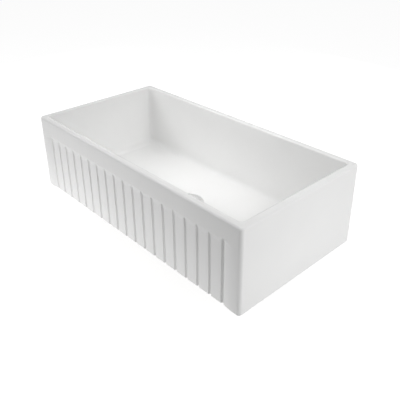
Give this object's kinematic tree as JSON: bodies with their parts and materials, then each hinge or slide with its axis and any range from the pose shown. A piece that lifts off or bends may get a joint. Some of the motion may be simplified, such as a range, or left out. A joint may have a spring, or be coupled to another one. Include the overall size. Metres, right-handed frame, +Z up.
{
  "type": "farmhouse apron front sink",
  "caption": "Rectangular single-bowl fireclay sink with a fluted apron front and a central drain fitted with a basket strainer.",
  "frame": {"origin": "on the drain's axis, in the plane of the sink's underside, where the cabinet's support carries it", "axes": "+Z up, +X to the right as seen from the front, the fluted apron faces -Y"},
  "size_m": [0.911, 0.46, 0.404],
  "materials": {
    "white_glaze": "white gloss glaze",
    "brushed_stainless": "brushed stainless steel",
    "bright_chrome": "polished chrome plate",
    "cast_brass": "as cast and turned brass",
    "black_rubber": "moulded black rubber",
    "grey_foam": "soft grey foam rubber",
    "pressed_fibre": "pressed brown fibre",
    "white_polythene": "moulded white polythene"
  },
  "bodies": {
    "sink": {"sink_body": "white_glaze", "flange_gasket": "grey_foam", "strainer_body": "brushed_stainless", "catch_ring": "brushed_stainless", "rubber_washer": "black_rubber", "friction_ring": "pressed_fibre", "locknut": "cast_brass", "tailpiece_washer": "white_polythene", "tailpiece": "bright_chrome", "coupling_nut": "bright_chrome"},
    "stopper_set": {"basket_post": "brushed_stainless", "basket_stopper": "black_rubber", "basket_knob": "bright_chrome"},
    "basket": {"basket_cup": "brushed_stainless"}
  },
  "joints": [
    {"name": "basket_lift", "type": "slide", "parent": "sink", "child": "stopper_set", "axis": [0, 0, 1], "range_m": [0, 0.3]},
    {"name": "basket_turn", "type": "hinge", "parent": "stopper_set", "child": "basket", "pos_m": [0, 0, 0], "axis": [0, 0, 1], "continuous": true}
  ]
}
